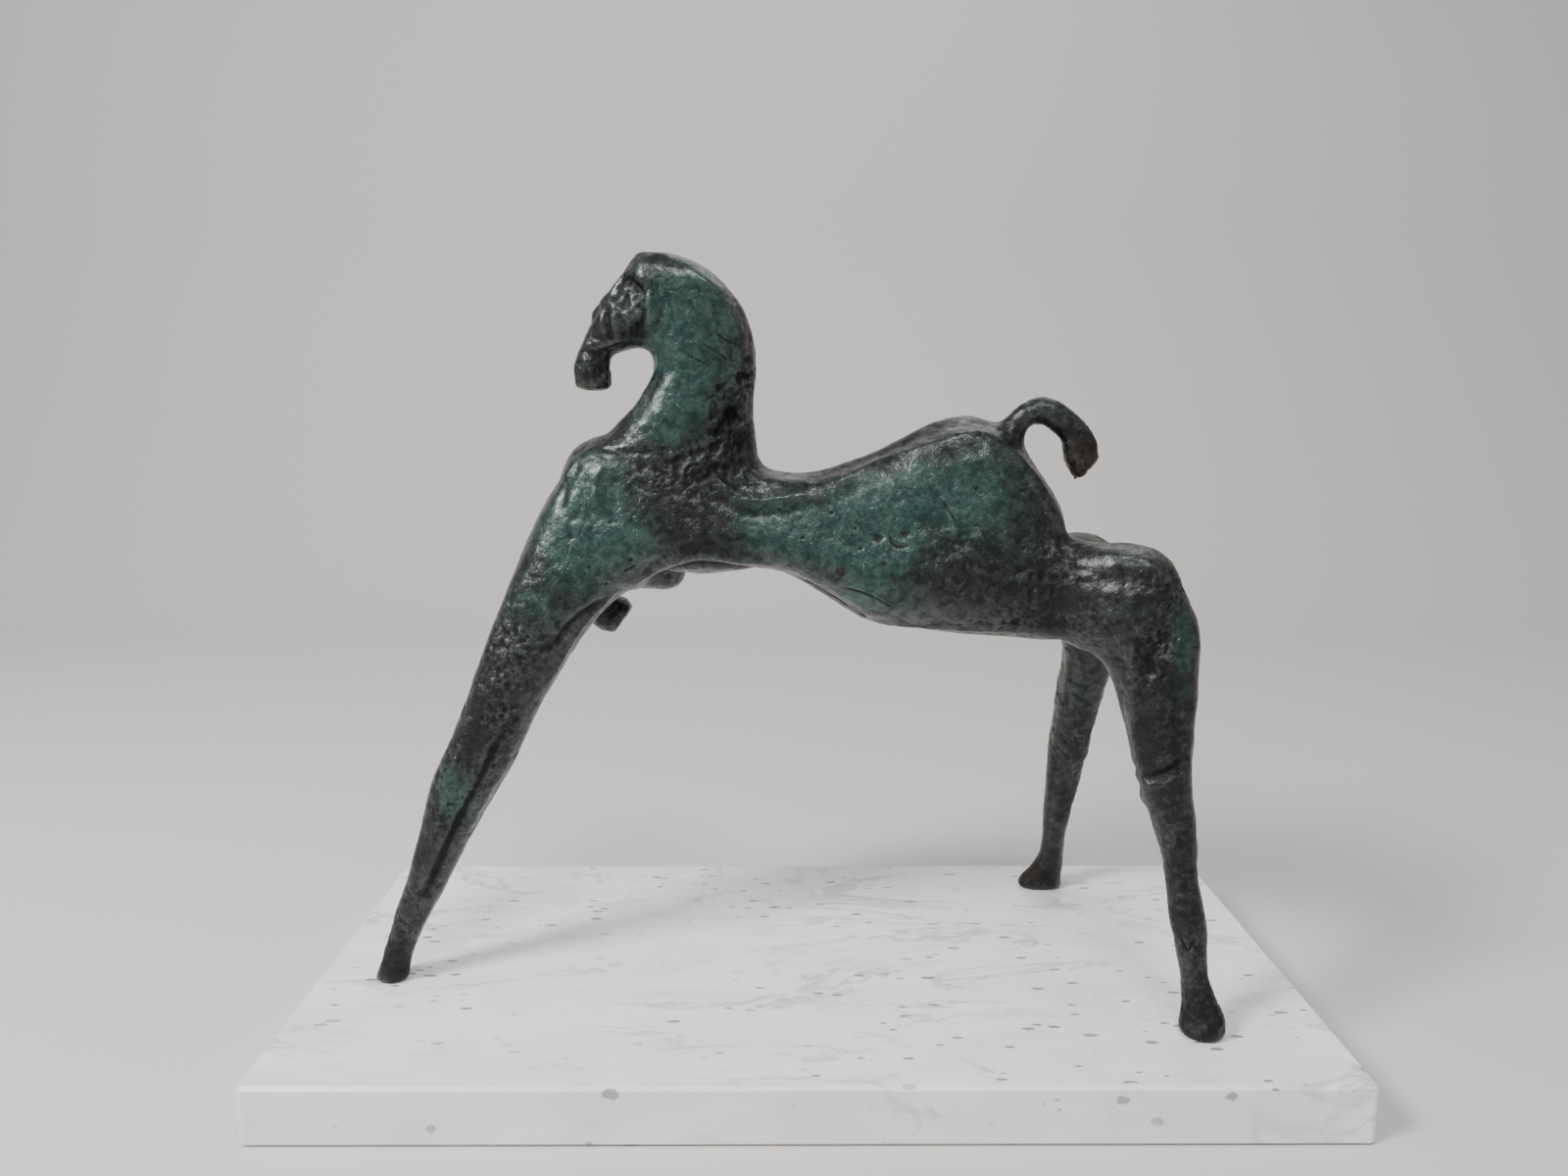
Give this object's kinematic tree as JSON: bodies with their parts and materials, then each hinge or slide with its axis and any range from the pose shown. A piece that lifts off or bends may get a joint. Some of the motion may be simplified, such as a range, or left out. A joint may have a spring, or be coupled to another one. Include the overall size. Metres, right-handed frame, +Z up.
{
  "type": "horse statuette",
  "caption": "Patinated bronze horse cast in sections, one foreleg raised and three feet studded to a white marble slab.",
  "frame": {"origin": "centre of the felt's underside", "axes": "+X from the head to the tail along the slab's long side, +Y across the slab away from the horse's left side, +Z up"},
  "size_m": [0.37, 0.18, 0.2918],
  "materials": {
    "bronze_patina": "dark green-brown patina, waxed",
    "bronze_bare": "bare bronze rod",
    "white_marble": "honed white marble with fine grey flecks",
    "dark_felt": "dark wool felt",
    "zinc_steel": "zinc-plated steel"
  },
  "bodies": {
    "root": {"core_pin_plug_1": "bronze_patina", "core_pin_plug_2": "bronze_patina", "core_pin_plug_3": "bronze_patina", "core_pin_plug_4": "bronze_patina", "core_pin_plug_5": "bronze_patina", "core_pin_plug_6": "bronze_patina", "core_vent_plate": "bronze_patina", "felt_pad": "dark_felt", "head_casting": "bronze_patina", "head_dowel": "bronze_bare", "left_hind_dowel": "bronze_bare", "left_hind_foot_nut": "zinc_steel", "left_hind_foot_stud": "zinc_steel", "left_hind_foot_washer": "zinc_steel", "left_hind_leg_casting": "bronze_patina", "marble_slab": "white_marble", "neck_casting": "bronze_patina", "neck_front_dowel": "bronze_bare", "neck_rear_dowel": "bronze_bare", "raised_foreleg_casting": "bronze_patina", "raised_foreleg_dowel": "bronze_bare", "right_hind_dowel": "bronze_bare", "right_hind_foot_nut": "zinc_steel", "right_hind_foot_stud": "zinc_steel", "right_hind_foot_washer": "zinc_steel", "right_hind_leg_casting": "bronze_patina", "standing_forefoot_nut": "zinc_steel", "standing_forefoot_stud": "zinc_steel", "standing_forefoot_washer": "zinc_steel", "standing_foreleg_casting": "bronze_patina", "standing_foreleg_dowel": "bronze_bare", "tail_casting": "bronze_patina", "tail_dowel": "bronze_bare", "torso_casting": "bronze_patina"}
  },
  "joints": []
}
